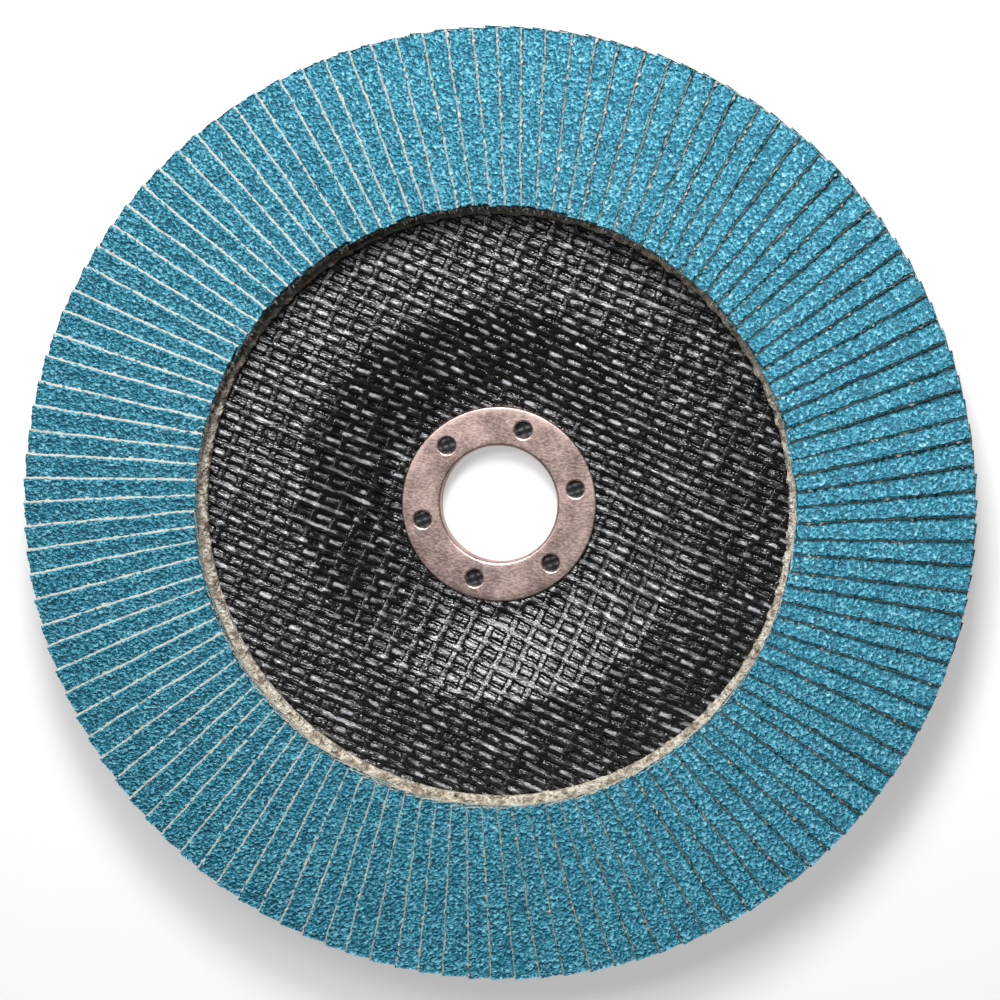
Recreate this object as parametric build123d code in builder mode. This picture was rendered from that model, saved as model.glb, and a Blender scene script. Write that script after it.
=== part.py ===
from build123d import *

import os
from math import asin, ceil, cos, degrees, radians, sin, sqrt

# Flap disc: a depressed-centre backing plate of moulded glass-fibre laminate, a
# metal arbor bush clinched through its hub onto a back ring, and a ring of
# leaning abrasive cloth flaps, bonded to the plate with a bed of adhesive.
#
# Frame, in millimetres: +Z is the axis of the disc and points out of its
# abrasive face. The origin is on the axis, in the back face of the back ring,
# where the disc is clamped and on which it lies when it is put down face up.

# Whole disc
disc_diameter = 180.0
opening_diameter = 112.6    # inside the flaps' upper corners

# Arbor bush: a flange on the abrasive side and a sleeve through the hub
bore_diameter = 22.23
sleeve_wall = 0.6
flange_width = 7.4          # from the bore to the flange's outer edge
flange_thickness = 0.8
flange_inset = 0.2          # how deep the flange is pressed into the hub
flange_bevel = 0.25
mouth_bevel = 0.6           # at the front mouth of the bore

# Key holes: through the flange, for the laminate's resin to grip it
key_hole_count = 6
key_hole_diameter = 3.2
key_hole_circle = 29.8      # diameter of the circle of their centres
key_hole_bevel = 0.4
first_key_hole_angle = 11.7  # degrees, from +X

# Back ring, held by the flared end of the sleeve
back_ring_width = 7.0       # from the sleeve to the ring's outer edge
back_ring_thickness = 0.8
back_ring_inset = 0.4
back_ring_bevel = 0.2
clinch_flare = 0.5          # how far the sleeve's end is flared, at 45 degrees

# Backing plate: flat hub, conical dish and flat outer annulus
plate_thickness = 3.0
hub_land = 3.0              # flat laminate beyond the flange
dish_run = 15.5             # radial width of the dish's conical wall
dish_depth = 4.8
plate_bevel = 0.6

# Weave: the weft yarns that stand proud of the exposed laminate
weft_pitch = 3.57
weft_width = 1.25
weft_height = 0.22
weft_direction = -24.0      # degrees, from +X
weft_root = 0.3             # depth to which a yarn runs on in the laminate

# Flaps: straight strips of abrasive cloth, each leaning on the next one
flap_count = 120
flap_width = 17.0
flap_thickness = 0.9
press_length = 6.0          # from the inner ends, how far the flaps lie face to face
flap_fall = 2.0             # degrees, how a flap's cut edge falls outwards
edge_offset = 4.8           # each cut edge passes the axis at this distance
flap_overhang = 4.0         # from the plate's edge to the edge of the disc

# Adhesive bed
bed_thickness = 2.1
bed_bead = 1.0              # bead of adhesive inside the flaps' inner ends
bead_bevel = 0.6
bed_margin = 0.6            # bare edge of the plate outside the bed
foot_height = 1.25          # from the plate to the feet of the flaps, inner end

# Clearances
sleeve_clearance = 0.05
seat_clearance = 0.05
yarn_clearance = 0.3        # from the yarns' ends to the flange and to the bed

# Radii and levels that follow
disc_radius = disc_diameter / 2
bore_radius = bore_diameter / 2
sleeve_radius = bore_radius + sleeve_wall
flange_radius = bore_radius + flange_width
back_ring_radius = sleeve_radius + back_ring_width
hub_radius = flange_radius + hub_land
dish_radius = hub_radius + dish_run
plate_radius = disc_radius - flap_overhang

hub_back = back_ring_thickness - back_ring_inset
hub_front = hub_back + plate_thickness
annulus_front = hub_front + dish_depth
flange_bottom = hub_front - flange_inset
flange_top = flange_bottom + flange_thickness

# The flaps fan out from face to face: where they cease to touch, the step from one
# to the next, measured square to their faces, is just their thickness.
flap_inner_end = sqrt((opening_diameter / 2) ** 2 - edge_offset**2)
flap_step = (flap_inner_end + press_length) * radians(360 / flap_count)
flap_lean = degrees(asin(flap_thickness / flap_step))

# A flap leans down from its cut edge to its foot. The outer corner of the foot is
# the point that touches the circle of the disc.
flap_rise = flap_width * sin(radians(flap_lean))
flap_spread = flap_width * cos(radians(flap_lean))
foot_outer_end = sqrt(disc_radius**2 - (flap_spread - edge_offset) ** 2)
flap_outer_end = foot_outer_end + flap_rise * sin(radians(flap_fall))
flap_length = (flap_outer_end - flap_inner_end) / cos(radians(flap_fall))
bed_inner_radius = flap_inner_end - bed_bead
bed_outer_radius = plate_radius - bed_margin


def laminate_line(inner_radius, outer_radius, depth=0.0):
    """Draw the laminate's abrasive side, or a line at a depth below it."""
    return Polyline(
        (inner_radius, hub_front - depth),
        (hub_radius, hub_front - depth),
        (dish_radius, annulus_front - depth),
        (outer_radius, annulus_front - depth),
    )


# Weft yarns: a skin over the exposed laminate, with the gaps cut between yarns
with BuildPart() as weft_yarns:
    with BuildSketch(Plane.XZ):
        with BuildLine():
            yarn_root = laminate_line(
                flange_radius + yarn_clearance, bed_inner_radius - yarn_clearance, weft_root
            )
            skin_height = weft_root + weft_height
            offset(yarn_root, amount=skin_height, side=Side.LEFT, kind=Kind.INTERSECTION)
        make_face()
    revolve(axis=Axis.Z)
    with BuildSketch(Plane.XY.rotated((0, 0, weft_direction))):
        with GridLocations(0, weft_pitch, 1, 2 * ceil(bed_inner_radius / weft_pitch)):
            Rectangle(disc_diameter, weft_pitch - weft_width)
    extrude(amount=disc_radius, mode=Mode.SUBTRACT)


# Backing plate: one laminate of constant thickness, with a seat for each ring
with BuildPart() as backing_plate:
    with BuildSketch(Plane.XZ):
        with BuildLine():
            front_line = laminate_line(sleeve_radius + sleeve_clearance, plate_radius)
            offset(
                front_line, amount=plate_thickness, side=Side.RIGHT, kind=Kind.INTERSECTION
            )
        make_face()
    revolve(axis=Axis.Z)
    rim_edges = backing_plate.edges().filter_by(GeomType.CIRCLE).sort_by(SortBy.RADIUS)[-2:]
    chamfer(rim_edges, length=plate_bevel)
    add(weft_yarns.part)
    with BuildSketch(Plane.XY.offset(hub_front)):
        Circle(flange_radius + seat_clearance)
    extrude(amount=-flange_inset, mode=Mode.SUBTRACT)
    with BuildSketch(Plane.XY.offset(hub_back)):
        Circle(back_ring_radius + seat_clearance)
    extrude(amount=back_ring_inset, mode=Mode.SUBTRACT)


# Arbor bush: a flange with key holes, and a sleeve flared at its back end
with BuildPart() as arbor_bush:
    with BuildSketch(Plane.XZ):
        with BuildLine():
            Polyline(
                (bore_radius + clinch_flare, 0),
                (sleeve_radius + clinch_flare, 0),
                (sleeve_radius, clinch_flare),
                (sleeve_radius, flange_bottom),
                (flange_radius, flange_bottom),
                (flange_radius, flange_top),
                (bore_radius, flange_top),
                (bore_radius, clinch_flare),
                close=True,
            )
        make_face()
    revolve(axis=Axis.Z)
    top_edges = arbor_bush.faces().sort_by(Axis.Z)[-1].edges().sort_by(SortBy.RADIUS)
    chamfer(top_edges[0], length=mouth_bevel)
    chamfer(top_edges[-1], length=flange_bevel)
    with BuildSketch(Plane.XY.offset(flange_top)):
        with PolarLocations(
            key_hole_circle / 2, key_hole_count, start_angle=first_key_hole_angle
        ):
            Circle(key_hole_diameter / 2)
    extrude(amount=-flange_thickness, mode=Mode.SUBTRACT)
    flat_face = arbor_bush.faces().filter_by(Plane.XY).sort_by(Axis.Z)[-1]
    hole_mouths = flat_face.edges().sort_by(SortBy.RADIUS)[:key_hole_count]
    chamfer(hole_mouths, length=key_hole_bevel)


# Back ring: countersunk to take the sleeve's flared end
with BuildPart() as back_ring:
    with BuildSketch(Plane.XZ):
        with BuildLine():
            Polyline(
                (sleeve_radius + sleeve_clearance + clinch_flare, 0),
                (back_ring_radius, 0),
                (back_ring_radius, back_ring_thickness),
                (sleeve_radius + sleeve_clearance, back_ring_thickness),
                (sleeve_radius + sleeve_clearance, clinch_flare),
                close=True,
            )
        make_face()
    revolve(axis=Axis.Z)
    seat_edges = back_ring.faces().sort_by(Axis.Z)[0].edges().sort_by(SortBy.RADIUS)
    chamfer(seat_edges[-1], length=back_ring_bevel)


# One flap: a strip of cloth, drawn from the upper corner of its cut edge
foot_level = annulus_front + foot_height
flap_level = foot_level + flap_rise + flap_thickness * cos(radians(flap_lean))
cut_edge_plane = Plane(
    origin=(flap_inner_end, -edge_offset, flap_level),
    x_dir=(0, 1, 0),
    z_dir=(cos(radians(flap_fall)), 0, -sin(radians(flap_fall))),
)
with BuildPart() as flap:
    with BuildSketch(cut_edge_plane):
        Rectangle(
            flap_width, flap_thickness, rotation=-flap_lean, align=(Align.MIN, Align.MAX)
        )
    extrude(amount=flap_length)


# Flap ring: the bed of adhesive and every flap that stands in it
with BuildPart() as flap_ring:
    with BuildSketch(Plane.XY.offset(annulus_front)):
        RegularPolygon(bed_outer_radius, side_count=flap_count)
        RegularPolygon(bed_inner_radius, side_count=flap_count, mode=Mode.SUBTRACT)
    extrude(amount=bed_thickness)
    bead_edges = flap_ring.faces().sort_by(Axis.Z)[-1].inner_wires()[0].edges()
    chamfer(bead_edges, length=bead_bevel)
    with PolarLocations(0, flap_count):
        add(flap.part)


os.makedirs("parts", exist_ok=True)

backing_plate.part.label = "backing_plate"
arbor_bush.part.label = "arbor_bush"
back_ring.part.label = "back_ring"
flap_ring.part.label = "flap_ring"

export_step(backing_plate.part, "parts/backing_plate.step")
export_step(arbor_bush.part, "parts/arbor_bush.step")
export_step(back_ring.part, "parts/back_ring.step")
export_step(flap_ring.part, "parts/flap_ring.step")
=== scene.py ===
import math

import bpy
import numpy as np
from mathutils import Matrix, Vector


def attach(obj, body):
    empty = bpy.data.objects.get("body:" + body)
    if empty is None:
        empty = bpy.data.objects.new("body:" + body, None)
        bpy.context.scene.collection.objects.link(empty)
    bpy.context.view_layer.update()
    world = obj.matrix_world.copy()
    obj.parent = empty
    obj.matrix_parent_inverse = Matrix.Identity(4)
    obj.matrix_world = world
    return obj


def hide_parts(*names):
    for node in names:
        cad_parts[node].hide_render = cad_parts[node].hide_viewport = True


# The looks of a flap disc: 120 grit-coated cloth flaps, their adhesive, the woven
# laminate plate and its steel bush, lit and seen as in the photo.
#
# Sizes are in millimetres and repeat the named sizes of the CAD source; make_object
# turns them into metres. Lamps, the camera, the scales of textures (cells in a metre)
# and the heights of bumps are in metres.

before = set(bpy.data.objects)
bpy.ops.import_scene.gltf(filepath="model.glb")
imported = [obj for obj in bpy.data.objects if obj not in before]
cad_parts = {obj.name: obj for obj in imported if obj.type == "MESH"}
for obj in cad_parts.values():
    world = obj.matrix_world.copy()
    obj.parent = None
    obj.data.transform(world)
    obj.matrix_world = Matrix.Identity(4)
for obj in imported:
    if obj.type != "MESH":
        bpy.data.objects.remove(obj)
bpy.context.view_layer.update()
MM = 0.001

# Whole disc
DISC_RADIUS = 90.0
OPENING_RADIUS = 56.3       # inside the flaps' upper corners
CLEARANCE = 0.05

# Arbor bush and back ring
BORE_RADIUS = 11.115
SLEEVE_WALL = 0.6
FLANGE_WIDTH = 7.4
FLANGE_THICKNESS = 0.8
FLANGE_INSET = 0.2
BACK_RING_WIDTH = 7.0
BACK_RING_THICKNESS = 0.8
BACK_RING_INSET = 0.4
CLINCH_FLARE = 0.5
KEY_HOLE_COUNT = 6
KEY_HOLE_RADIUS = 1.6
KEY_CIRCLE_RADIUS = 14.9
FIRST_KEY_HOLE = math.radians(11.7)
SLEEVE_RADIUS = BORE_RADIUS + SLEEVE_WALL
FLANGE_RADIUS = BORE_RADIUS + FLANGE_WIDTH
BACK_RING_RADIUS = SLEEVE_RADIUS + BACK_RING_WIDTH

# Backing plate
PLATE_THICKNESS = 3.0
HUB_LAND = 3.0              # flat laminate beyond the flange
DISH_RUN = 15.5
DISH_DEPTH = 4.8
FLAP_OVERHANG = 4.0
HUB_RADIUS = FLANGE_RADIUS + HUB_LAND
DISH_RADIUS = HUB_RADIUS + DISH_RUN
PLATE_RADIUS = DISC_RADIUS - FLAP_OVERHANG
HUB_BACK = BACK_RING_THICKNESS - BACK_RING_INSET
HUB_FRONT = HUB_BACK + PLATE_THICKNESS
ANNULUS_FRONT = HUB_FRONT + DISH_DEPTH
FRONT_SEAT = HUB_FRONT - FLANGE_INSET
FLANGE_TOP = FRONT_SEAT + FLANGE_THICKNESS

# Weave
WEFT_PITCH = 3.57
WARP_PITCH = 3.9
WEFT_DIRECTION = math.radians(-24.0)    # from +X
WEFT_HEIGHT = 0.22

# Flaps: each leans on the next one at the angle that its thickness asks for
FLAP_COUNT = 120
FLAP_WIDTH = 17.0
FLAP_THICKNESS = 0.9
FLAP_FALL = math.radians(2.0)   # of the cut edge, outwards
PRESS_LENGTH = 6.0          # from the inner ends, how far the flaps lie face to face
EDGE_OFFSET = 4.8           # each cut edge passes the axis at this distance
FOOT_HEIGHT = 1.25
FOOT_LEVEL = ANNULUS_FRONT + FOOT_HEIGHT
FLAP_INNER_END = math.sqrt(OPENING_RADIUS**2 - EDGE_OFFSET**2)
FLAP_STEP = (FLAP_INNER_END + PRESS_LENGTH) * math.radians(360 / FLAP_COUNT)
FLAP_LEAN = math.asin(FLAP_THICKNESS / FLAP_STEP)
FLAP_RISE = FLAP_WIDTH * math.sin(FLAP_LEAN)
FLAP_SPREAD = FLAP_WIDTH * math.cos(FLAP_LEAN)
FOOT_OUTER_END = math.sqrt(DISC_RADIUS**2 - (FLAP_SPREAD - EDGE_OFFSET) ** 2)
FLAP_OUTER_END = FOOT_OUTER_END + FLAP_RISE * math.sin(FLAP_FALL)
FLAP_LENGTH = (FLAP_OUTER_END - FLAP_INNER_END) / math.cos(FLAP_FALL)
FLAP_LEVEL = FOOT_LEVEL + FLAP_RISE + FLAP_THICKNESS * math.cos(FLAP_LEAN)
FLAP_CORNER = np.array([FLAP_INNER_END, -EDGE_OFFSET, FLAP_LEVEL])

# Adhesive bed
BED_THICKNESS = 2.1
BED_BEAD = 1.0              # bead of adhesive inside the flaps' inner ends
BED_MARGIN = 0.6            # bare edge of the plate outside the bed
BED_INNER_RADIUS = FLAP_INNER_END - BED_BEAD
BED_OUTER_RADIUS = PLATE_RADIUS - BED_MARGIN

rng = np.random.default_rng(180)


# ---------------------------------------------------------------- mesh helpers


def make_object(name, points, faces, materials, face_material=None, smooth=True):
    """Make a mesh object from points in mm and a list of arrays of faces."""
    mesh = bpy.data.meshes.new(name)
    loop_totals = np.concatenate([np.full(len(f), f.shape[1]) for f in faces])
    loops = np.concatenate([f.ravel() for f in faces])
    starts = np.concatenate(([0], np.cumsum(loop_totals)[:-1]))
    mesh.vertices.add(len(points))
    mesh.vertices.foreach_set("co", (np.asarray(points) * MM).astype(np.float32).ravel())
    mesh.loops.add(len(loops))
    mesh.loops.foreach_set("vertex_index", loops.astype(np.int32))
    mesh.polygons.add(len(loop_totals))
    mesh.polygons.foreach_set("loop_start", starts.astype(np.int32))
    mesh.polygons.foreach_set("loop_total", loop_totals.astype(np.int32))
    for material in materials:
        mesh.materials.append(material)
    if face_material is not None:
        mesh.polygons.foreach_set("material_index", face_material.astype(np.int32))
    mesh.polygons.foreach_set("use_smooth", np.broadcast_to(smooth, len(loop_totals)).copy())
    mesh.update(calc_edges=True)
    mesh.validate()
    made = bpy.data.objects.new(name, mesh)
    bpy.context.scene.collection.objects.link(made)
    return made


def grid_faces(rows, columns, wrap_rows=False, wrap_columns=False):
    """Quads of a grid of points numbered row by row."""
    last_row = rows if wrap_rows else rows - 1
    last_column = columns if wrap_columns else columns - 1
    i, j = np.meshgrid(np.arange(last_row), np.arange(last_column), indexing="ij")
    row = i * columns
    next_row = (i + 1) % rows * columns
    next_j = (j + 1) % columns
    corners = (row + j, next_row + j, next_row + next_j, row + next_j)
    return np.stack([c.ravel() for c in corners], axis=1)


def lathe_points(profile, segments):
    """Turn a profile of (radius, level) rows about the axis."""
    angles = np.arange(segments) * 2 * np.pi / segments
    profile = np.asarray(profile)
    x = np.outer(profile[:, 0], np.cos(angles))
    y = np.outer(profile[:, 0], np.sin(angles))
    z = np.repeat(profile[:, 1:2], segments, axis=1)
    return np.stack([x, y, z], axis=2)


def arc(centre, radius, start, end, steps):
    """Points of an arc in the (radius, level) plane, angles in degrees."""
    turns = np.radians(np.linspace(start, end, steps + 1))
    return [(centre[0] + radius * math.cos(t), centre[1] + radius * math.sin(t)) for t in turns]


def turn_points(points, turn):
    """Turn points or directions about the disc's axis."""
    x = points[..., 0] * math.cos(turn) - points[..., 1] * math.sin(turn)
    y = points[..., 0] * math.sin(turn) + points[..., 1] * math.cos(turn)
    return np.stack([x, y, points[..., 2]], axis=-1)


def smooth_noise(count, step, amplitude):
    """A wavy line of random values, one for each of count places."""
    knots = rng.normal(0, amplitude, count // step + 3)
    return np.interp(np.arange(count) / step, np.arange(len(knots)), knots)


def sharpen(made, degrees):
    """Crease a smooth mesh where its faces meet at more than an angle."""
    made.data.set_sharp_from_angle(angle=math.radians(degrees))


# ------------------------------------------------------------ material helpers


class Nodes:
    """Short hand for building one material's nodes."""

    def __init__(self, name):
        self.material = bpy.data.materials.new(name)
        self.material.use_nodes = True
        self.tree = self.material.node_tree
        self.shader = self.tree.nodes["Principled BSDF"]

    def put(self, socket, value):
        """Link a socket to an input, or set the input to a constant."""
        if isinstance(value, bpy.types.NodeSocket):
            self.tree.links.new(value, socket)
        else:
            socket.default_value = value

    def add(self, kind, **inputs):
        node = self.tree.nodes.new(kind)
        for name, value in inputs.items():
            self.put(node.inputs[name], value)
        return node

    def math(self, operation, *values):
        node = self.tree.nodes.new("ShaderNodeMath")
        node.operation = operation
        for socket, value in zip(node.inputs, values):
            self.put(socket, value)
        return node.outputs[0]

    def plus(self, first, second):
        return self.math("ADD", first, second)

    def minus(self, first, second):
        return self.math("SUBTRACT", first, second)

    def times(self, first, second):
        return self.math("MULTIPLY", first, second)

    def times_plus(self, first, second, third):
        return self.math("MULTIPLY_ADD", first, second, third)

    def larger(self, first, second):
        return self.math("MAXIMUM", first, second)

    def fit(self, value, low, high, to_low=0.0, to_high=1.0):
        """Smooth step from low to high, brought to another range."""
        node = self.tree.nodes.new("ShaderNodeMapRange")
        node.interpolation_type = "SMOOTHSTEP"
        for socket, number in zip(node.inputs, (value, low, high, to_low, to_high)):
            self.put(socket, number)
        return node.outputs[0]

    def mix(self, factor, first, second):
        """Mix two colours, which are a colour Mix node's inputs 6 and 7."""
        node = self.tree.nodes.new("ShaderNodeMix")
        node.data_type = "RGBA"
        self.put(node.inputs[0], factor)
        self.put(node.inputs[6], first)
        self.put(node.inputs[7], second)
        return node.outputs[2]

    def ramp(self, factor, stops):
        """Colours by place; a new ramp already has elements for the first two."""
        node = self.tree.nodes.new("ShaderNodeValToRGB")
        elements = node.color_ramp.elements
        for element, (place, colour) in zip(elements, stops):
            element.position = place
            element.color = colour
        for place, colour in stops[2:]:
            elements.new(place).color = colour
        self.put(node.inputs[0], factor)
        return node.outputs[0]

    def noise(self, vector, scale, detail=2.0, roughness=0.5, distortion=0.0):
        inputs = {"Scale": scale, "Detail": detail, "Roughness": roughness, "Distortion": distortion}
        return self.add("ShaderNodeTexNoise", Vector=vector, **inputs).outputs["Fac"]

    def place(self):
        return self.tree.nodes.new("ShaderNodeTexCoord").outputs["Object"]

    def attribute(self, name):
        node = self.tree.nodes.new("ShaderNodeAttribute")
        node.attribute_name = name
        return node.outputs["Fac"]

    def stretch(self, vector, scale, turn=0.0):
        """Scale a texture's space along its axes, then turn it about Z."""
        rotation = (0.0, 0.0, turn)
        return self.add("ShaderNodeMapping", Vector=vector, Scale=scale, Rotation=rotation).outputs[0]

    def bump(self, height, distance, strength=1.0):
        node = self.add("ShaderNodeBump", Height=height, Distance=distance, Strength=strength)
        return node.outputs[0]

    def finish(self, **sockets):
        """Set the shader's inputs, named with _ for a space, and give the material."""
        for name, value in sockets.items():
            self.put(self.shader.inputs[name.replace("_", " ")], value)
        return self.material


def rgb(red, green, blue):
    return (red, green, blue, 1.0)


def grey(value):
    return rgb(value, value, value)


# ------------------------------------------------------------------ materials


def grit_material():
    """Blue abrasive grains, with painted highlights on their crests and painted shade between them."""
    n = Nodes("abrasive_grit")
    place = n.place()
    swirl = n.noise(place, 1650.0, detail=1.0, roughness=0.45, distortion=0.5)
    cells = n.add("ShaderNodeTexVoronoi", Vector=place, Scale=2600.0)
    grain = n.add("ShaderNodeSeparateColor", Color=cells.outputs["Color"])
    patches = n.noise(place, 230.0, roughness=0.6)
    relief = n.fit(swirl, 0.2, 0.8)
    # Tone: random grains and patches, plus painted light from the relief, which is pale on its crests and
    # dark in its hollows.
    tone_and_painted_light = n.times_plus(grain.outputs[0], 0.24, n.times(relief, 0.72))
    tone_and_painted_light = n.times_plus(n.minus(patches, 0.5), 0.22, tone_and_painted_light)
    stops = [
        (0.0, rgb(0.004, 0.065, 0.115)),
        (0.28, rgb(0.008, 0.15, 0.24)),
        (0.52, rgb(0.028, 0.30, 0.44)),
        (0.74, rgb(0.13, 0.51, 0.66)),
        (1.0, rgb(0.50, 0.80, 0.90)),
    ]
    colour = n.ramp(tone_and_painted_light, stops)
    rough = n.fit(grain.outputs[1], 0.0, 1.0, 0.38, 0.58)
    normal = n.bump(relief, distance=0.0004)
    return n.finish(Base_Color=colour, Roughness=rough, Normal=normal, Specular_IOR_Level=0.65)


def cloth_material():
    """Cut edges of the cloth, with stains of glue."""
    n = Nodes("backing_cloth")
    place = n.place()
    threads = n.noise(n.stretch(place, (1.0, 1.0, 3.0)), 1700.0, roughness=0.65)
    stains = n.noise(place, 420.0, roughness=0.6)
    colour = n.mix(threads, rgb(0.40, 0.38, 0.32), rgb(0.80, 0.78, 0.70))
    colour = n.mix(n.fit(stains, 0.5, 0.75, 0.0, 0.55), colour, rgb(0.33, 0.27, 0.19))
    normal = n.bump(threads, distance=0.00016, strength=0.8)
    return n.finish(Base_Color=colour, Roughness=0.9, Normal=normal)


def adhesive_material():
    """Cream adhesive with brown spots of dust and scorched resin."""
    n = Nodes("cured_adhesive")
    place = n.place()
    lumps = n.noise(place, 1500.0, roughness=0.65)
    spots = n.noise(place, 620.0, roughness=0.65)
    colour = n.mix(n.fit(lumps, 0.32, 0.68), rgb(0.56, 0.49, 0.38), rgb(0.93, 0.88, 0.76))
    colour = n.mix(n.fit(spots, 0.48, 0.62, 0.0, 0.8), colour, rgb(0.24, 0.17, 0.11))
    rough = n.fit(lumps, 0.3, 0.7, 0.5, 0.8)
    normal = n.bump(lumps, distance=0.0009)
    return n.finish(Base_Color=colour, Roughness=rough, Normal=normal)


def wave(n, value, pitch):
    """Cosine of a length in metres, 1 at each multiple of a pitch in mm."""
    return n.math("COSINE", n.times(value, 2 * math.pi / (pitch * MM)))


def painted_glint_line(n, across, ragged, offset):
    """A ragged line of painted highlight along each weft yarn, at an offset in mm from its middle."""
    shifted = wave(n, n.minus(across, offset * MM), WEFT_PITCH)
    return n.fit(n.plus(shifted, n.times(ragged, 0.5)), 0.72, 0.98)


def weave_material():
    """Black resin over yarns, with dashes of painted highlight along their crests, on the side that faces
    the lamps.

    The long weft yarns lie at whole pitches. Between them lie the short floats of the
    weft, cut by bars of the warp.
    """
    n = Nodes("resin_laminate")
    place = n.place()
    along = n.attribute("weave_u")
    across = n.attribute("weave_v")
    ragged = n.times_plus(n.noise(place, 800.0, roughness=0.65), 1.1, -0.55)
    across_edge = n.plus(wave(n, across, WEFT_PITCH), ragged)
    along_edge = n.plus(wave(n, along, WARP_PITCH), ragged)
    long_yarn = n.fit(across_edge, 0.15, 0.85)
    bar = n.fit(along_edge, 0.1, 0.8)
    between_bars = n.minus(1.0, bar)
    short_float = n.times(n.fit(n.times(across_edge, -1.0), 0.15, 0.85), between_bars)

    yarn_space = n.add("ShaderNodeCombineXYZ", X=n.times(along, 0.45), Y=n.times(across, 1.8))
    fibres = n.noise(yarn_space.outputs[0], 1300.0, roughness=0.7)
    wear_and_glint_patches = n.noise(place, 210.0, roughness=0.65)
    runs = n.fit(n.noise(place, 75.0), 0.5, 0.62)
    # Painted highlights: ragged lines on the lamp side of each long yarn and float, broken into dashes
    # and shown in patches.
    yarn_glint_line = n.times(painted_glint_line(n, across, ragged, 0.42), n.larger(runs, n.fit(along_edge, 0.0, 0.5)))
    float_glint_line = n.times(painted_glint_line(n, across, ragged, 2.1), between_bars)
    broken = n.fit(n.noise(yarn_space.outputs[0], 620.0), 0.42, 0.58)
    painted_glints = n.times(n.larger(yarn_glint_line, float_glint_line), n.times(broken, n.fit(wear_and_glint_patches, 0.38, 0.64, 0.25, 1.0)))

    shown = n.times(n.fit(fibres, 0.46, 0.68), n.fit(wear_and_glint_patches, 0.42, 0.66, 0.1, 1.0))
    yarn_colour = n.mix(shown, rgb(0.003, 0.003, 0.004), rgb(0.045, 0.045, 0.052))
    bar_colour = n.mix(shown, rgb(0.002, 0.002, 0.003), rgb(0.04, 0.034, 0.032))
    colour = n.mix(bar, rgb(0.0006, 0.0006, 0.001), bar_colour)
    colour = n.mix(n.larger(long_yarn, short_float), colour, yarn_colour)
    # The pale colour of the painted highlights.
    colour = n.mix(painted_glints, colour, rgb(0.50, 0.50, 0.54))
    rough = n.fit(fibres, 0.3, 0.7, 0.13, 0.27)
    height = n.larger(long_yarn, n.times(n.larger(bar, short_float), 0.85))
    normal = n.bump(n.times_plus(fibres, 0.55, height), distance=0.00036)
    return n.finish(Base_Color=colour, Roughness=rough, Normal=normal, Specular_IOR_Level=0.9)


def plate_back_material():
    """Black resin that took the print of a fine cloth in the mould."""
    n = Nodes("resin_back")
    place = n.place()
    turned = n.stretch(place, (1.0, 1.0, 1.0), -WEFT_DIRECTION)
    split = n.add("ShaderNodeSeparateXYZ", Vector=turned)
    across_wave = wave(n, split.outputs["Y"], WEFT_PITCH / 2)
    along_wave = wave(n, split.outputs["X"], WARP_PITCH / 2)
    speckle = n.noise(place, 900.0, detail=3.0, roughness=0.6)
    colour = n.mix(speckle, rgb(0.006, 0.006, 0.008), rgb(0.03, 0.03, 0.034))
    rough = n.fit(speckle, 0.3, 0.7, 0.3, 0.5)
    height = n.times_plus(speckle, 0.5, n.times(across_wave, along_wave))
    normal = n.bump(height, distance=0.0001, strength=0.8)
    return n.finish(Base_Color=colour, Roughness=rough, Normal=normal)


def steel_material():
    """Plated sheet steel, cloudy, with fine grains and faint scratches."""
    n = Nodes("plated_steel")
    place = n.place()
    clouds = n.noise(place, 190.0, detail=4.0, roughness=0.65)
    grains = n.noise(place, 2600.0, detail=3.0, roughness=0.7)
    scratches = n.noise(n.stretch(place, (1.0, 2.4, 1.0), 0.5), 1300.0, detail=3.0, roughness=0.6)
    colour = n.mix(n.fit(clouds, 0.35, 0.65), rgb(0.55, 0.395, 0.355), rgb(0.79, 0.585, 0.535))
    colour = n.mix(n.fit(grains, 0.5, 0.72, 0.0, 0.55), colour, rgb(0.93, 0.79, 0.75))
    rough = n.times_plus(clouds, 0.22, n.fit(scratches, 0.35, 0.7, 0.24, 0.42))
    height = n.times_plus(grains, 0.5, scratches)
    normal = n.bump(height, distance=0.00002, strength=0.6)
    return n.finish(Base_Color=colour, Metallic=1.0, Roughness=rough, Normal=normal)


GRIT = grit_material()
CLOTH = cloth_material()
ADHESIVE = adhesive_material()
WEAVE = weave_material()
PLATE_BACK = plate_back_material()
STEEL = steel_material()


# ---------------------------------------------------------------------- flaps
#
# A flap's points are rows of sections, from its inner to its outer end. A section is
# a loop of (width, height): over the grit from the cut edge to the foot, back under
# the cloth, and up the fringe, which is the fluffy cut edge itself.

ROWS = 80
GRIT_DEPTH = 0.28
FINE_STEPS = 18             # over the part of the grit that can be seen
FINE_WIDTH = 5.9
TOP_WIDTHS = list(np.linspace(0.0, FINE_WIDTH, FINE_STEPS + 1)) + [8.0, 11.0, 14.0, FLAP_WIDTH]
UNDER_WIDTHS = [FLAP_WIDTH, 12.0, 7.0, 3.0, 0.6]
FRINGE = [(-0.12, -0.93), (-0.24, -0.86), (-0.15, -0.56), (-0.05, -GRIT_DEPTH), (-0.03, -0.18)]
GRIT_POINTS = [(w, 0.0) for w in TOP_WIDTHS] + [(FLAP_WIDTH, -GRIT_DEPTH)]
UNDER_POINTS = [(w, -FLAP_THICKNESS) for w in UNDER_WIDTHS]
SECTION = np.array(GRIT_POINTS + UNDER_POINTS + FRINGE)
SECTION_COUNT = len(SECTION)
TOP_COUNT = len(TOP_WIDTHS)
FRINGE_COUNT = len(FRINGE)
FOOT_LINE = TOP_COUNT       # the points where grit meets cloth, at the foot
GRIT_LINE = SECTION_COUNT - 2   # and at the cut edge

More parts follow.
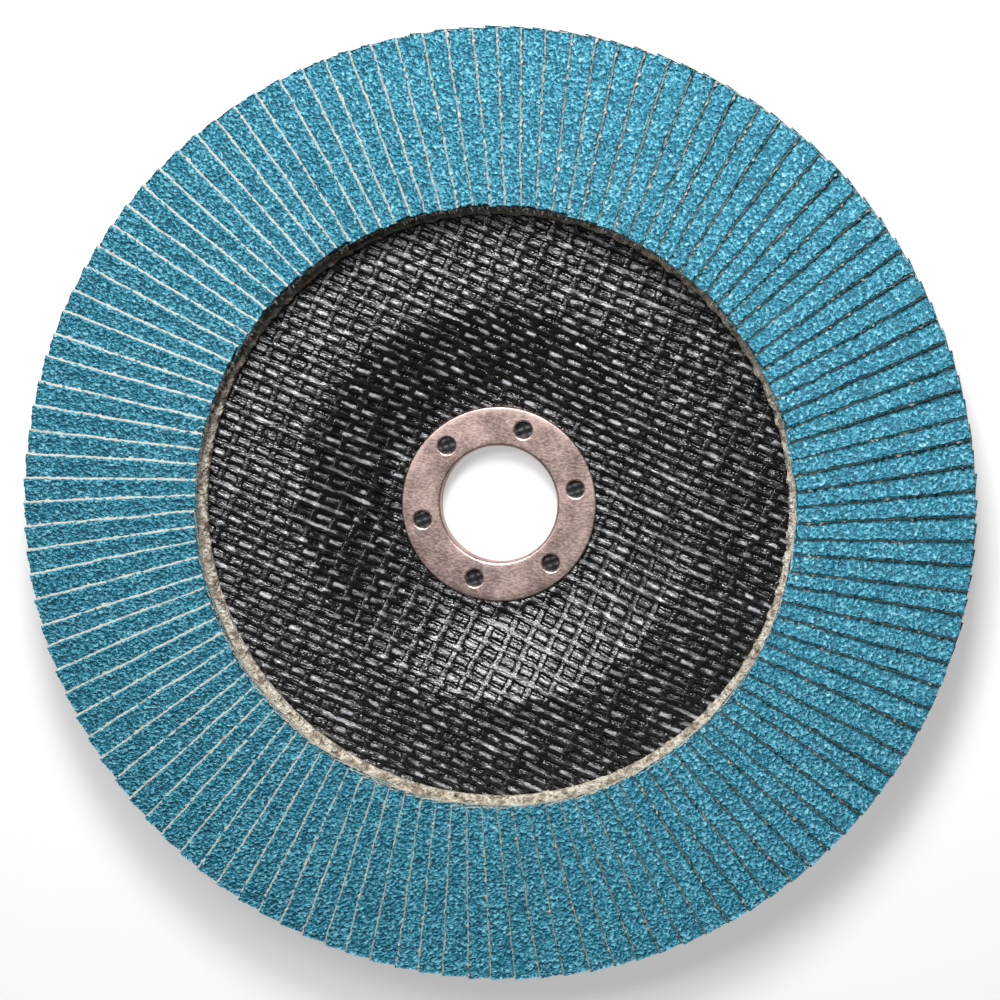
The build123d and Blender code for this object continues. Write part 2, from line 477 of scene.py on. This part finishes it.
# Irregularities. A spread is a standard deviation; angles are in degrees.
INNER_GAP = 0.45            # room inside the flaps for loose fibres
INNER_GAP_SPREAD = 0.2
END_SPREAD = 0.07
GRAIN_HEIGHT = 0.045
GRAIN_LIMIT = 1.8           # in spreads
GRAIN_BLEND = 1.4
GRAIN_BLEND_SUM = 2.2       # keeps about the same spread
GRAIN_SHIFT = 0.09
EDGE_REACH = 4.0            # how far from the cut edge its waviness fades out
EDGE_WAVE = 0.07
EDGE_WAVE_ROWS = 9
EDGE_SPREAD = 0.035
FLUFF_SPREAD = 0.06
TUFT_CHANCE = 0.05
TUFT_LENGTHS = (0.12, 0.42)
FRINGE_HEIGHT_SPREAD = 0.03
SWAY = 0.05
SWAY_ROWS = 25
LEAN_SPREAD = 0.35
SIDE_SPREAD = 0.12
LEVEL_SPREAD = 0.05
TURN_SPREAD = 0.1


def flap_faces():
    """Faces of a flap, and 0 or 1 for each: grit or cloth.

    After the skin come the ends. Each end has its own line of points between a band
    of grit and one face of cloth.
    """
    skin = grid_faces(ROWS + 1, SECTION_COUNT, wrap_columns=True)
    column = np.tile(np.arange(SECTION_COUNT), ROWS)
    skin_material = np.where((column < TOP_COUNT) | (column >= GRIT_LINE), 0, 1)
    bands = []
    lowers = []
    for end in range(2):
        base = end * ROWS * SECTION_COUNT
        line = (ROWS + 1) * SECTION_COUNT + end * TOP_COUNT + np.arange(TOP_COUNT)
        top = base + np.arange(TOP_COUNT)
        under = base + np.arange(FOOT_LINE + 1, GRIT_LINE)
        order = -1 if end else 1
        bands.append(np.stack([top[:-1], top[1:], line[1:], line[:-1]], axis=1)[:, ::order])
        lowers.append(np.concatenate([line, under])[None, ::order])
    band_material = np.zeros(2 * len(bands[0]))
    lower_material = np.ones(2)
    face_material = np.concatenate([skin_material, band_material, lower_material])
    return [skin[:, ::-1]] + bands + lowers, face_material


FLAP_FACES, FLAP_FACE_MATERIAL = flap_faces()


def blend_rows(values):
    """Blend each row with the rows beside it."""
    return (values[:-2] + GRAIN_BLEND * values[1:-1] + values[2:]) / GRAIN_BLEND_SUM


def roughen_grit(length, width, height):
    """Move the points of the visible grit as its grains do."""
    near_top = (np.arange(SECTION_COUNT) <= FINE_STEPS).astype(float)
    grain = rng.normal(0, 1.0, (ROWS + 3, SECTION_COUNT + 2))
    grain = blend_rows(blend_rows(grain).T).T
    height += np.clip(grain, -GRAIN_LIMIT, GRAIN_LIMIT) * GRAIN_HEIGHT * near_top
    shift = rng.uniform(-GRAIN_SHIFT, GRAIN_SHIFT, (ROWS - 1, SECTION_COUNT))
    length[1:-1] += shift * near_top
    width[:, 1:FINE_STEPS] += rng.uniform(-GRAIN_SHIFT, GRAIN_SHIFT, (ROWS + 1, FINE_STEPS - 1))


def fray_edge(width, height, near_edge):
    """Make the cut edge wavy, and pull fluff and tufts out of its fringe."""
    edge = smooth_noise(ROWS + 1, EDGE_WAVE_ROWS, EDGE_WAVE) + rng.normal(0, EDGE_SPREAD, ROWS + 1)
    width += edge[:, None] * near_edge
    fluff = np.abs(rng.normal(0, FLUFF_SPREAD, (ROWS + 1, FRINGE_COUNT)))
    tufts = rng.random((ROWS + 1, FRINGE_COUNT)) < TUFT_CHANCE
    fluff += tufts * rng.uniform(*TUFT_LENGTHS, (ROWS + 1, FRINGE_COUNT))
    loose = FRINGE_COUNT - 1    # all of the fringe but its lowest point
    width[:, -loose:] -= fluff[:, -loose:]
    height[:, -loose:] += rng.normal(0, FRINGE_HEIGHT_SPREAD, (ROWS + 1, loose))


def end_line(length, width, row):
    """The line between grit and cloth across one end of a flap."""
    depth = np.full(TOP_COUNT, -GRIT_DEPTH)
    line = np.stack([length[row, :TOP_COUNT], width[row, :TOP_COUNT], depth], axis=1)
    line[0, 1] = width[row, GRIT_LINE]
    return line


def flap_places(points, corner, lean, turn):
    """Where points of a flap, given by length, width and height, lie in the disc."""
    along = np.array([math.cos(FLAP_FALL), 0.0, -math.sin(FLAP_FALL)])
    upright = np.array([math.sin(FLAP_FALL), 0.0, math.cos(FLAP_FALL)])
    aside = np.array([0.0, 1.0, 0.0])
    down = math.cos(lean) * aside - math.sin(lean) * upright
    normal = math.sin(lean) * aside + math.cos(lean) * upright
    placed = corner + points[..., :1] * along + points[..., 1:2] * down + points[..., 2:3] * normal
    return turn_points(placed, turn)


def make_flap(index):
    """One flap, with the irregularities of a strip that was cut, stacked and glued."""
    row_lengths = np.linspace(0.0, FLAP_LENGTH, ROWS + 1)
    row_lengths[0] += INNER_GAP + rng.normal(0, INNER_GAP_SPREAD)
    length = np.repeat(row_lengths[:, None], SECTION_COUNT, axis=1)
    width = np.repeat(SECTION[None, :, 0], ROWS + 1, axis=0)
    height = np.repeat(SECTION[None, :, 1], ROWS + 1, axis=0)
    roughen_grit(length, width, height)
    near_edge = np.clip(1.0 - width / EDGE_REACH, 0.0, 1.0)
    fray_edge(width, height, near_edge)
    length[0] += rng.normal(0, END_SPREAD, SECTION_COUNT)
    length[-1] += rng.normal(0, END_SPREAD, SECTION_COUNT)
    lean = FLAP_LEAN + math.radians(rng.normal(0, LEAN_SPREAD))
    height += smooth_noise(ROWS + 1, SWAY_ROWS, SWAY)[:, None] * near_edge
    skin = np.stack([length, width, height], axis=2).reshape(-1, 3)
    ends = [end_line(length, width, row) for row in (0, ROWS)]
    shift = np.array([0.0, rng.normal(0, SIDE_SPREAD), rng.normal(0, LEVEL_SPREAD)])
    turn = 2 * math.pi * index / FLAP_COUNT + math.radians(rng.normal(0, TURN_SPREAD))
    points = flap_places(np.concatenate([skin] + ends), FLAP_CORNER + shift, lean, turn)
    name = f"flap_{index + 1:03d}"
    smooth = FLAP_FACE_MATERIAL == 0
    made = make_object(name, points, FLAP_FACES, [GRIT, CLOTH], FLAP_FACE_MATERIAL, smooth)
    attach(made, "root")
    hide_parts("flap_ring")


for flap_index in range(FLAP_COUNT):
    make_flap(flap_index)


# ---------------------------------------------------------------------- frays

FIBRE_SIDES = 3
FIBRE_STEPS = 4
FIBRE_CURL = 0.35
FIBRE_TAPER = 0.75

# At each flap's inner end
END_FIBRES = 17             # on average
END_FIBRE_LENGTHS = (0.4, 1.2)
END_FIBRE_THICKNESSES = (0.07, 0.16)
HIGH_SHARE = 0.75           # of them near the cut edge
HIGH_WIDTHS = (-0.1, 3.2)
LOW_WIDTHS = (3.0, 12.0)
END_HEIGHTS = (-0.9, -0.3)
END_ROOT = 0.5              # from the CAD's inner end, about where these flaps start

# Along each flap's cut edge
EDGE_FIBRES = 5             # on average
EDGE_FIBRE_LENGTHS = (0.25, 0.75)
EDGE_FIBRE_THICKNESSES = (0.07, 0.14)
EDGE_HEIGHTS = (-0.85, -0.4)
EDGE_ROOT = -0.15           # within the fringe
EDGE_MARGINS = (0.6, 0.3)   # from the flap's inner and outer ends


def fibre(start, direction, lengths, thicknesses):
    """Points of one curling, tapered fibre."""
    length = rng.uniform(*lengths)
    thickness = rng.uniform(*thicknesses)
    direction = direction / np.linalg.norm(direction)
    side = np.cross(direction, rng.normal(0, 1, 3))
    side /= np.linalg.norm(side)
    other = np.cross(direction, side)
    curl = rng.normal(0, FIBRE_CURL, 2)
    points = []
    for step in range(FIBRE_STEPS + 1):
        share = step / FIBRE_STEPS
        bow = share * share * length
        centre = start + direction * share * length + side * curl[0] * bow + other * curl[1] * bow
        radius = thickness / 2 * (1.0 - FIBRE_TAPER * share)
        for corner in range(FIBRE_SIDES):
            turn = 2 * math.pi * corner / FIBRE_SIDES
            points.append(centre + radius * (math.cos(turn) * side + math.sin(turn) * other))
    return np.array(points)


def end_fibre(turn):
    """A fibre that hangs into the opening from the inner end of a flap.

    Its direction is by X, Y and Z, before the flap's turn about the axis.
    """
    width = rng.uniform(*HIGH_WIDTHS) if rng.random() < HIGH_SHARE else rng.uniform(*LOW_WIDTHS)
    root = np.array([END_ROOT, width, rng.uniform(*END_HEIGHTS)])
    direction = np.array([-1.0, rng.normal(0, 0.7), rng.normal(-0.1, 0.3)])
    place = flap_places(root, FLAP_CORNER, FLAP_LEAN, turn)
    return fibre(place, turn_points(direction, turn), END_FIBRE_LENGTHS, END_FIBRE_THICKNESSES)


def edge_fibre(turn):
    """A fibre that stands out of the cut edge of a flap, its direction likewise."""
    length = rng.uniform(EDGE_MARGINS[0], FLAP_LENGTH - EDGE_MARGINS[1])
    root = np.array([length, EDGE_ROOT, rng.uniform(*EDGE_HEIGHTS)])
    direction = np.array([rng.normal(0, 1.0), -0.7, rng.uniform(-0.3, 0.2)])
    place = flap_places(root, FLAP_CORNER, FLAP_LEAN, turn)
    return fibre(place, turn_points(direction, turn), EDGE_FIBRE_LENGTHS, EDGE_FIBRE_THICKNESSES)


def make_frays():
    """Loose fibres of the cloth, as one piece of many small closed skins."""
    strands = []
    for index in range(FLAP_COUNT):
        turn = 2 * math.pi * index / FLAP_COUNT
        for _ in range(rng.poisson(END_FIBRES)):
            strands.append(end_fibre(turn))
        for _ in range(rng.poisson(EDGE_FIBRES)):
            strands.append(edge_fibre(turn))
    skin = grid_faces(FIBRE_STEPS + 1, FIBRE_SIDES, wrap_columns=True)
    first_points = np.arange(len(strands)) * (FIBRE_STEPS + 1) * FIBRE_SIDES
    skins = np.concatenate([skin + first for first in first_points])
    roots = first_points[:, None] + np.arange(FIBRE_SIDES)[::-1]
    tips = roots[:, ::-1] + FIBRE_STEPS * FIBRE_SIDES
    made = make_object("frays", np.concatenate(strands), [skins, roots, tips], [CLOTH])
    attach(made, "root")


make_frays()


# --------------------------------------------------------------- adhesive bed

BED_SEGMENTS = 960
BEAD_ROUND = 0.9
BEAD_FOOT = 0.5
BED_BEVEL = 0.4
BED_TOP_RADII = (BED_INNER_RADIUS + 2.5, 70.0, BED_OUTER_RADIUS - BED_BEVEL)
LUMP_WAVES = (5, 11, 23, 41, 67, 97, 131)
LUMP_SPREAD = 0.09
LUMP_PHASES = 6.28          # radians
LUMP_SINK = 0.5             # how far the bead drops, for each mm it is pushed outwards
BEAD_SPREAD = 0.12
BEAD_LEVEL_SPREAD = 0.11
FIRST_BEAD_ROW = 2
FIRST_BEAD_SHARE = 0.6      # how much of the lumps the bead's lowest row takes


def make_bed():
    """A ring of adhesive with a lumpy bead inside the flaps' inner ends."""
    top = ANNULUS_FRONT + BED_THICKNESS
    bead = arc((BED_INNER_RADIUS + BEAD_ROUND, top - BEAD_ROUND), BEAD_ROUND, 180, 90, 7)
    profile = [(BED_INNER_RADIUS, ANNULUS_FRONT), (BED_INNER_RADIUS, ANNULUS_FRONT + BEAD_FOOT)]
    profile += bead
    profile += [(radius, top) for radius in BED_TOP_RADII]
    profile += [(BED_OUTER_RADIUS, top - BED_BEVEL), (BED_OUTER_RADIUS, ANNULUS_FRONT)]
    points = lathe_points(profile, BED_SEGMENTS)
    angles = np.arange(BED_SEGMENTS) * 2 * np.pi / BED_SEGMENTS
    lumps = np.zeros(BED_SEGMENTS)
    for waves in LUMP_WAVES:
        size = rng.normal(0, LUMP_SPREAD)
        lumps += size * np.cos(waves * angles + rng.uniform(0, LUMP_PHASES))
    for row in range(FIRST_BEAD_ROW, FIRST_BEAD_ROW + len(bead)):
        share = FIRST_BEAD_SHARE if row == FIRST_BEAD_ROW else 1.0
        offsets = lumps * share + rng.normal(0, BEAD_SPREAD, BED_SEGMENTS)
        points[row, :, :2] *= (1.0 + offsets / BED_INNER_RADIUS)[:, None]
        points[row, :, 2] += rng.normal(0, BEAD_LEVEL_SPREAD, BED_SEGMENTS) - lumps * LUMP_SINK * share
    faces = grid_faces(len(profile), BED_SEGMENTS, wrap_rows=True, wrap_columns=True)
    made = make_object("adhesive_bed", points.reshape(-1, 3), [faces], [ADHESIVE])
    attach(made, "root")
    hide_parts("flap_ring")


make_bed()


# -------------------------------------------------------------- backing plate
#
# The woven front is a grid that follows the yarns. The rest is turned on a lathe, and
# two bands of triangles join the grid's ragged edges to the lathe's first and last
# circles.

CELL_ALONG = WARP_PITCH / 7
CELL_ACROSS = WEFT_PITCH / 14
SEAT_RADIUS = FLANGE_RADIUS + CLEARANCE
SEAT_BEVEL = 0.05
FRONT_INNER = SEAT_RADIUS + SEAT_BEVEL
FRONT_OUTER = BED_INNER_RADIUS + 0.25
SEAM = 0.1                  # least width of the bands of triangles
FLOAT_HEIGHT = 0.7          # as shares of a long yarn's
BAR_HEIGHT = 0.8
RELIEF_FADE = 0.8           # how far from both edges the weave fades out
BEND_SOFTNESS = 1.0
RESIN_LUMP = 0.028
LUMP_LIMIT = 2              # in spreads
PLATE_SEGMENTS = 720
PLATE_ROUND = 0.6

# Circles over the annulus's flats, and the back's bends as (radius, distance from the
# flat beside the bend)
FRONT_FLAT_RADII = (FRONT_OUTER, 62.0, 74.0)
BACK_FLAT_RADII = (74.0, 60.0, 48.0)
OUTER_BACK_BEND = [(39.5, 0.0), (38.2, 0.03), (37.4, 0.14), (36.4, 0.36), (30.0, 2.34)]
INNER_BACK_BEND = [(23.2, 0.36), (22.2, 0.14), (21.4, 0.03), (20.4, 0.0)]

# How the cloth is bent: waves of (size, mm for a radian along u, and along v, phase)
U_WAVES = [(0.35, math.inf, 9.0, 0.7), (0.12, 7.0, 2.7, 0.0)]
V_WAVES = [(0.22, 11.0, 23.0, 0.0), (0.07, 3.1, 1.9, 0.0)]


def front_level(radius):
    """Height of the laminate's front, with softened bends."""
    slope = DISH_DEPTH / (DISH_RADIUS - HUB_RADIUS)
    inner = radius - HUB_RADIUS
    outer = radius - DISH_RADIUS
    rise = np.sqrt(inner**2 + BEND_SOFTNESS**2) + inner - np.sqrt(outer**2 + BEND_SOFTNESS**2) - outer
    return HUB_FRONT + slope * rise / 2


def bend(u, v, waves):
    """How far waves in the cloth move the place at (u, v)."""
    return sum(size * np.sin(u / along + v / across + phase) for size, along, across, phase in waves)


def weave_places(x, y):
    """Where a point lies along and across the weft, with the cloth's small distortions."""
    u = x * math.cos(WEFT_DIRECTION) + y * math.sin(WEFT_DIRECTION)
    v = y * math.cos(WEFT_DIRECTION) - x * math.sin(WEFT_DIRECTION)
    return u + bend(u, v, U_WAVES), v + bend(u, v, V_WAVES)


def rounded(value, low, high, power=0.55):
    """Rise from 0 at low to 1 at high, steep at first as the side of a yarn is."""
    return np.clip((value - low) / (high - low), 0, 1) ** power


def weave_height(bent_u, bent_v):
    """Relief of the weave: long weft yarns, short weft floats and warp bars."""
    across = np.cos(2 * np.pi * bent_v / WEFT_PITCH)
    along = np.cos(2 * np.pi * bent_u / WARP_PITCH)
    long_yarn = rounded(across, 0.2, 1.0) * (0.66 + 0.34 * along)
    short_float = rounded(-across, 0.2, 1.0) * rounded(-along, -0.55, 0.65, power=0.6)
    bar = rounded(along, 0.1, 1.0) * np.clip(0.75 - across, 0, 1)
    weft = np.maximum(long_yarn, FLOAT_HEIGHT * short_float)
    return WEFT_HEIGHT * np.maximum(weft, BAR_HEIGHT * bar)


def resin_lumps(rows, columns):
    """Random lumps of the resin, blended over the grid's cells, in spreads."""
    lumps = rng.normal(0, 1.0, (rows + 2, columns + 4))
    lumps = lumps[:-2] + 1.5 * lumps[1:-1] + lumps[2:]
    near = lumps[:, :-4] + 2.0 * lumps[:, 1:-3] + 2.6 * lumps[:, 2:-2]
    lumps = near + 2.0 * lumps[:, 3:-1] + lumps[:, 4:]
    return lumps.ravel() / lumps.std()


def woven_front():
    """Points and quads of the front between the bush's seat and the bed."""
    reach_u = int(FRONT_OUTER / CELL_ALONG) + 1
    reach_v = int(FRONT_OUTER / CELL_ACROSS) + 1
    u_line = np.arange(-reach_u, reach_u + 1) * CELL_ALONG
    v_line = np.arange(-reach_v, reach_v + 1) * CELL_ACROSS
    u, v = np.meshgrid(u_line, v_line, indexing="ij")
    x = (u * math.cos(WEFT_DIRECTION) - v * math.sin(WEFT_DIRECTION)).ravel()
    y = (u * math.sin(WEFT_DIRECTION) + v * math.cos(WEFT_DIRECTION)).ravel()
    quads = grid_faces(len(u_line), len(v_line))
    corner_radii = np.hypot(x, y)[quads]
    kept = corner_radii.max(axis=1) < FRONT_OUTER - SEAM
    kept &= corner_radii.min(axis=1) > FRONT_INNER + SEAM
    used, numbers = np.unique(quads[kept].ravel(), return_inverse=True)
    x = x[used]
    y = y[used]
    radius = np.hypot(x, y)
    fade = np.clip((FRONT_OUTER - radius) / RELIEF_FADE, 0, 1)
    fade = fade * np.clip((radius - FRONT_INNER) / RELIEF_FADE, 0, 1)
    lumps = np.clip(resin_lumps(len(u_line), len(v_line))[used], -LUMP_LIMIT, LUMP_LIMIT)
    relief = weave_height(*weave_places(x, y)) + RESIN_LUMP * lumps
    z = front_level(radius) + relief * fade
    return np.stack([x, y, z], axis=1), numbers.reshape(-1, 4)


def plate_profile():
    """The turned part: from the bed outwards, round the rim, and in to the seats."""
    rim_centre = PLATE_RADIUS - PLATE_ROUND
    annulus_back = ANNULUS_FRONT - PLATE_THICKNESS
    back_seat_radius = BACK_RING_RADIUS + CLEARANCE
    sleeve_hole = SLEEVE_RADIUS + CLEARANCE
    profile = [(radius, ANNULUS_FRONT) for radius in FRONT_FLAT_RADII]
    profile += arc((rim_centre, ANNULUS_FRONT - PLATE_ROUND), PLATE_ROUND, 90, 0, 5)
    profile += arc((rim_centre, annulus_back + PLATE_ROUND), PLATE_ROUND, 0, -90, 5)
    profile += [(radius, annulus_back) for radius in BACK_FLAT_RADII]
    profile += [(radius, annulus_back - drop) for radius, drop in OUTER_BACK_BEND]
    profile += [(radius, HUB_BACK + rise) for radius, rise in INNER_BACK_BEND]
    profile += [(back_seat_radius, HUB_BACK), (back_seat_radius, BACK_RING_THICKNESS)]
    profile += [(sleeve_hole, BACK_RING_THICKNESS), (sleeve_hole, FRONT_SEAT)]
    profile += [(SEAT_RADIUS, FRONT_SEAT), (SEAT_RADIUS, HUB_FRONT - SEAT_BEVEL)]
    return profile + [(FRONT_INNER, HUB_FRONT)]


def edge_points(quads):
    """Points on the edges of a grid's cells that only one cell has."""
    edges = np.concatenate([quads[:, [k, (k + 1) % 4]] for k in range(4)])
    unique, counts = np.unique(np.sort(edges, axis=1), axis=0, return_counts=True)
    return np.unique(unique[counts == 1].ravel())


def ring_order(points, indices):
    """Sort points round the axis, with the first again at the end, one turn on."""
    angles = np.arctan2(points[indices, 1], points[indices, 0])
    order = np.argsort(angles)
    order = np.append(order, order[0])
    angles = angles[order]
    angles[-1] += 2 * math.pi
    return indices[order], angles


def zip_loops(points, inner, outer):
    """Triangles between two closed loops that both go round the axis."""
    first, first_angles = ring_order(points, inner)
    second, second_angles = ring_order(points, outer)
    last_first = len(first) - 1
    last_second = len(second) - 1
    triangles = []
    i = 0
    j = 0
    while i < last_first or j < last_second:
        first_left = i < last_first
        if j == last_second or (first_left and first_angles[i + 1] <= second_angles[j + 1]):
            triangles.append((first[i], second[j], first[i + 1]))
            i += 1
        else:
            triangles.append((first[i], second[j], second[j + 1]))
            j += 1
    return np.array(triangles)


def make_plate():
    """The laminate: woven front, seats, rounded rim and back, as one closed skin."""
    front, woven = woven_front()
    profile = plate_profile()
    points = np.concatenate([front, lathe_points(profile, PLATE_SEGMENTS).reshape(-1, 3)])
    shell = grid_faces(len(profile), PLATE_SEGMENTS, wrap_columns=True) + len(front)
    outer_circle = len(front) + np.arange(PLATE_SEGMENTS)
    inner_circle = outer_circle + (len(profile) - 1) * PLATE_SEGMENTS
    ragged = edge_points(woven)
    is_outer = np.hypot(front[ragged, 0], front[ragged, 1]) > (FRONT_INNER + FRONT_OUTER) / 2
    outer_band = zip_loops(points, ragged[is_outer], outer_circle)
    inner_band = zip_loops(points, inner_circle, ragged[~is_outer])
    faces = [woven, shell, outer_band, inner_band]
    face_material = np.repeat([0, 1, 0, 0], [len(f) for f in faces])
    made = make_object("laminate_plate", points, faces, [WEAVE, PLATE_BACK], face_material)
    all_u, all_v = weave_places(points[:, 0], points[:, 1])
    for name, values in (("weave_u", all_u), ("weave_v", all_v)):
        attribute = made.data.attributes.new(name, "FLOAT", "POINT")
        attribute.data.foreach_set("value", (values * MM).astype(np.float32))
    sharpen(made, 60)
    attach(made, "root")
    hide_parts("backing_plate")


make_plate()


# ---------------------------------------------------------------- metal parts

BUSH_SEGMENTS = 240
KEY_HOLE_SEGMENTS = 64
BORE_CIRCLE = 2.0           # level of a circle of points within the bore
FLANGE_CIRCLES = (12.6, 15.0, 17.2)
MOUTH_ROUND = 0.6
FLANGE_ROUND = 0.28
KEY_HOLE_ROUND = 0.42
KEY_HOLE_DEPTH = 3.0        # of the cutter, well through the flange
CUTTER_FLARE = 0.15         # the cutter's top, above the flange
CUTTER_RISE = 0.3
ON_AXIS = 0.0001            # a radius that keeps the cutter's ends closed


def bush_profile():
    """The sleeve's bore, the flange and the flared end, as a closed loop."""
    profile = [(BORE_RADIUS, CLINCH_FLARE), (BORE_RADIUS, BORE_CIRCLE)]
    profile += arc((BORE_RADIUS + MOUTH_ROUND, FLANGE_TOP - MOUTH_ROUND), MOUTH_ROUND, 180, 90, 8)
    profile += [(radius, FLANGE_TOP) for radius in FLANGE_CIRCLES]
    profile += arc((FLANGE_RADIUS - FLANGE_ROUND, FLANGE_TOP - FLANGE_ROUND), FLANGE_ROUND, 90, 0, 5)
    profile += [(FLANGE_RADIUS, FRONT_SEAT), (SLEEVE_RADIUS, FRONT_SEAT)]
    profile += [(SLEEVE_RADIUS, CLINCH_FLARE), (SLEEVE_RADIUS + CLINCH_FLARE, 0.0)]
    return profile + [(BORE_RADIUS + CLINCH_FLARE, 0.0)]


def cutter_profile():
    """A key hole with a drawn, rounded mouth."""
    mouth_centre = (KEY_HOLE_RADIUS + KEY_HOLE_ROUND, FLANGE_TOP - KEY_HOLE_ROUND)
    mouth = arc(mouth_centre, KEY_HOLE_ROUND, 180, 95, 7)
    bottom = FLANGE_TOP - KEY_HOLE_DEPTH
    top = FLANGE_TOP + CUTTER_RISE
    profile = [(ON_AXIS, bottom), (KEY_HOLE_RADIUS, bottom)] + mouth
    return profile + [(mouth[-1][0] + CUTTER_FLARE, top), (ON_AXIS, top)]


def lathe_object(name, profile, segments, centre=(0.0, 0.0, 0.0)):
    """A turned steel piece whose profile is a closed loop."""
    points = lathe_points(profile, segments).reshape(-1, 3) + centre
    faces = grid_faces(len(profile), segments, wrap_rows=True, wrap_columns=True)
    return make_object(name, points, [faces[:, ::-1]], [STEEL])


def make_bush():
    """The flange and sleeve, with the key holes cut."""
    bush = lathe_object("arbor_flange", bush_profile(), BUSH_SEGMENTS)
    cutters = []
    for index in range(KEY_HOLE_COUNT):
        turn = FIRST_KEY_HOLE + index * 2 * math.pi / KEY_HOLE_COUNT
        centre = (KEY_CIRCLE_RADIUS * math.cos(turn), KEY_CIRCLE_RADIUS * math.sin(turn), 0.0)
        cutter = lathe_object(f"cutter_{index}", cutter_profile(), KEY_HOLE_SEGMENTS, centre)
        cut = bush.modifiers.new(f"cut_{index}", "BOOLEAN")
        cut.operation = "DIFFERENCE"
        cut.solver = "EXACT"
        cut.object = cutter
        cutters.append(cutter)
    bpy.context.view_layer.update()
    carved = bush.evaluated_get(bpy.context.evaluated_depsgraph_get())
    mesh = bpy.data.meshes.new_from_object(carved)
    bush.modifiers.clear()
    bush.data = mesh
    for cutter in cutters:
        bpy.data.objects.remove(cutter)
    sharpen(bush, 40)
    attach(bush, "root")
    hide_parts("arbor_bush")


make_bush()

# The back ring is the CAD's own, in the bush's steel
back_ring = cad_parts["back_ring"]
back_ring.data.materials.clear()
back_ring.data.materials.append(STEEL)


# ------------------------------------------------------- floor, light, camera

FLOOR_HALF = 900.0
FLOOR_GAP = 0.02            # below the disc, so that no faces coincide
FLOOR_GLOW = 0.46           # lifts the floor to white
AMBIENT = 0.03
AMBIENT_IN_REFLECTIONS = 0.09

# The camera, solved from the photo. The focal length is in widths of the sensor.
CAMERA_PLACE = Vector((0.0661, 0.0607, 0.6771))
SENSOR_WIDTH = 36.0
FOCAL_WIDTHS = 3.576
SHIFT_X = -0.0007
SHIFT_Y = 0.0025


def floor_material():
    """Near-white floor that glows for the camera."""
    n = Nodes("floor_white")
    speckle = n.noise(n.place(), 30.0)
    colour = n.mix(speckle, grey(0.62), grey(0.64))
    seen = n.tree.nodes.new("ShaderNodeLightPath").outputs["Is Camera Ray"]
    glow = n.times(seen, FLOOR_GLOW)
    return n.finish(Base_Color=colour, Roughness=0.95, Emission_Color=grey(1.0), Emission_Strength=glow)


def make_floor():
    """One square under the disc."""
    corners = [(-1, -1), (1, -1), (1, 1), (-1, 1)]
    points = np.array([(x * FLOOR_HALF, y * FLOOR_HALF, -FLOOR_GAP) for x, y in corners])
    return make_object("floor", points, [np.array([[0, 1, 2, 3]])], [floor_material()])


def make_world():
    """White for the camera, and a dim room for everything else."""
    world = bpy.data.worlds.new("studio")
    bpy.context.scene.world = world
    world.use_nodes = True
    tree = world.node_tree
    background = tree.nodes["Background"]
    background.inputs["Color"].default_value = grey(1.0)
    light_path = tree.nodes.new("ShaderNodeLightPath")
    ambient = tree.nodes.new("ShaderNodeMapRange")
    ambient.inputs["To Min"].default_value = AMBIENT
    ambient.inputs["To Max"].default_value = AMBIENT_IN_REFLECTIONS
    strength = tree.nodes.new("ShaderNodeMath")
    strength.operation = "MAXIMUM"
    tree.links.new(light_path.outputs["Is Glossy Ray"], ambient.inputs["Value"])
    tree.links.new(ambient.outputs[0], strength.inputs[0])
    tree.links.new(light_path.outputs["Is Camera Ray"], strength.inputs[1])
    tree.links.new(strength.outputs[0], background.inputs["Strength"])


def add_lamp(name, place, size, power):
    """A rectangular lamp that points at the middle of the disc."""
    data = bpy.data.lights.new(name, "AREA")
    data.shape = "RECTANGLE"
    data.size, data.size_y = size
    data.energy = power
    lamp = bpy.data.objects.new(name, data)
    lamp.location = place
    lamp.rotation_euler = (-lamp.location).to_track_quat("-Z", "Y").to_euler()
    bpy.context.scene.collection.objects.link(lamp)


def add_camera():
    """The photo's camera, pointing at the origin with the photo's shift."""
    data = bpy.data.cameras.new("camera")
    data.sensor_width = SENSOR_WIDTH
    data.lens = SENSOR_WIDTH * FOCAL_WIDTHS
    data.shift_x = SHIFT_X
    data.shift_y = SHIFT_Y
    camera = bpy.data.objects.new("camera", data)
    back = CAMERA_PLACE.normalized()
    right = Vector((0.0, 1.0, 0.0)).cross(back).normalized()
    axes = Matrix((right, back.cross(right), back)).transposed().to_4x4()
    camera.matrix_world = Matrix.Translation(CAMERA_PLACE) @ axes
    bpy.context.scene.collection.objects.link(camera)
    bpy.context.scene.camera = camera


floor = make_floor()
make_world()
add_lamp("key", place=(0.0, 0.38, 0.385), size=(0.18, 0.18), power=2.95)
add_lamp("soft_box", place=(-0.10, 0.265, 0.58), size=(0.42, 0.15), power=1.55)
add_camera()
bpy.context.scene.view_settings.view_transform = "Standard"
